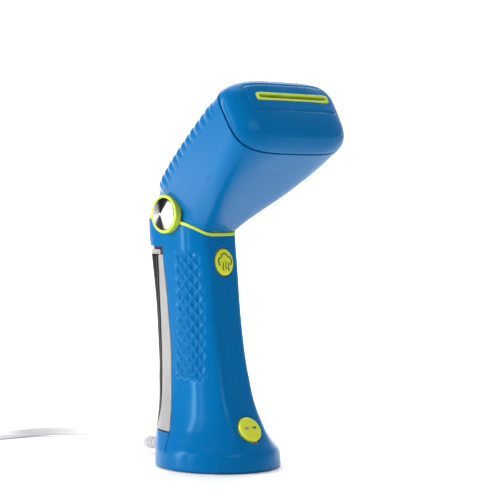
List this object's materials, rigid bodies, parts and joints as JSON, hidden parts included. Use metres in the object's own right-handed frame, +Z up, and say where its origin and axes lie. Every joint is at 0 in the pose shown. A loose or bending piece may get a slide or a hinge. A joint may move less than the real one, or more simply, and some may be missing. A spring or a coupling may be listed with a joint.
{
  "type": "handheld garment steamer",
  "caption": "Upright handheld garment steamer with a tilting slotted steam head, a lift-off clear water tank, sprung buttons and a mains cord with plug.",
  "frame": {"origin": "centre of the round foot on the surface it stands on", "axes": "+Z up, -Y towards the steam nozzle and the buttons, +Y towards the tank and the cord, X across"},
  "size_m": [0.1394, 0.4326, 0.2657],
  "materials": {
    "blue_plastic": "glossy moulded",
    "lime_plastic": "satin moulded",
    "chrome": "spun bright chrome",
    "clear_plastic": "clear moulded",
    "frosted_plastic": "translucent white",
    "white_plastic": "satin white",
    "white_cord": "satin PVC sheath",
    "dark_plastic": "matt",
    "black_rubber": "matt",
    "red_silicone": "matt",
    "silicone_hose": "translucent",
    "steel": "zinc plated",
    "aluminium": "as cast",
    "brass": "plain",
    "circuit_board": "solder mask",
    "indicator_lens": "tinted lens"
  },
  "bodies": {
    "handle": {"front_shell": "blue_plastic", "rear_shell": "blue_plastic", "base_plate": "dark_plastic", "foot_pads": "black_rubber", "base_screws": "steel", "hinge_trim": "lime_plastic", "hinge_cap_left": "chrome", "hinge_cap_right": "chrome", "pivot_pin_left": "steel", "pivot_pin_right": "steel", "friction_washers": "white_plastic", "hinge_union": "brass", "pump_body": "white_plastic", "pump_coil": "dark_plastic", "pump_bracket": "steel", "tank_seat": "dark_plastic", "seat_seal": "black_rubber", "inlet_hose": "silicone_hose", "outlet_hose": "silicone_hose", "control_board": "circuit_board", "board_relay": "dark_plastic", "board_capacitor": "dark_plastic", "mains_lead": "white_plastic", "steam_guide": "dark_plastic", "steam_spring": "steel", "steam_switch": "dark_plastic", "power_guide": "dark_plastic", "power_spring": "steel", "power_switch": "dark_plastic", "strain_relief": "white_plastic", "cord_clamp": "dark_plastic", "power_cord": "white_cord", "cord_coil": "white_cord", "plug_body": "white_plastic", "plug_pins": "brass", "coil_tie": "dark_plastic"},
    "head": {"head_shell": "blue_plastic", "pivot_barrel": "blue_plastic", "nozzle_cap": "blue_plastic", "nozzle_liner": "lime_plastic", "boiler_body": "aluminium", "boiler_gasket": "red_silicone", "boiler_lid": "aluminium", "heater_element": "steel", "thermostat": "steel", "thermal_fuse": "white_plastic", "steam_duct": "dark_plastic", "banjo_ring": "brass", "boiler_feed": "silicone_hose"},
    "steam_button": {"steam_button": "lime_plastic"},
    "power_button": {"power_button": "lime_plastic", "indicator_lenses": "indicator_lens"},
    "tank": {"tank_shell": "clear_plastic", "tank_lid": "frosted_plastic", "outlet_valve": "white_plastic", "valve_poppet": "dark_plastic", "valve_spring": "steel", "pickup_filter": "steel"},
    "filler_plug": {"filler_plug": "black_rubber"},
    "tank_catch": {"tank_catch": "dark_plastic"}
  },
  "joints": [
    {"name": "head_tilt", "type": "hinge", "parent": "handle", "child": "head", "pos_m": [0, 0.0307, 0.1746], "axis": [-1, 0, 0], "range_deg": [0, 40]},
    {"name": "steam_press", "type": "slide", "parent": "handle", "child": "steam_button", "axis": [0, 0.9877, -0.1564], "range_m": [0, 0.0016], "stiffness_N_per_m": 900, "springref_m": -0.0006, "deforming": ["steam_spring"]},
    {"name": "power_press", "type": "slide", "parent": "handle", "child": "power_button", "axis": [0, 0.8387, -0.5446], "range_m": [0, 0.0016], "stiffness_N_per_m": 900, "springref_m": -0.0006, "deforming": ["power_spring"]},
    {"name": "tank_removal", "type": "slide", "parent": "handle", "child": "tank", "axis": [0, 1, 0], "range_m": [0, 0.04]},
    {"name": "catch_press", "type": "slide", "parent": "tank", "child": "tank_catch", "axis": [0, 0, -1], "range_m": [0, 0.0016], "stiffness_N_per_m": 600, "springref_m": -0.0006},
    {"name": "filler_pull", "type": "slide", "parent": "tank", "child": "filler_plug", "axis": [0, 1, 0], "range_m": [0, 0.012]}
  ]
}
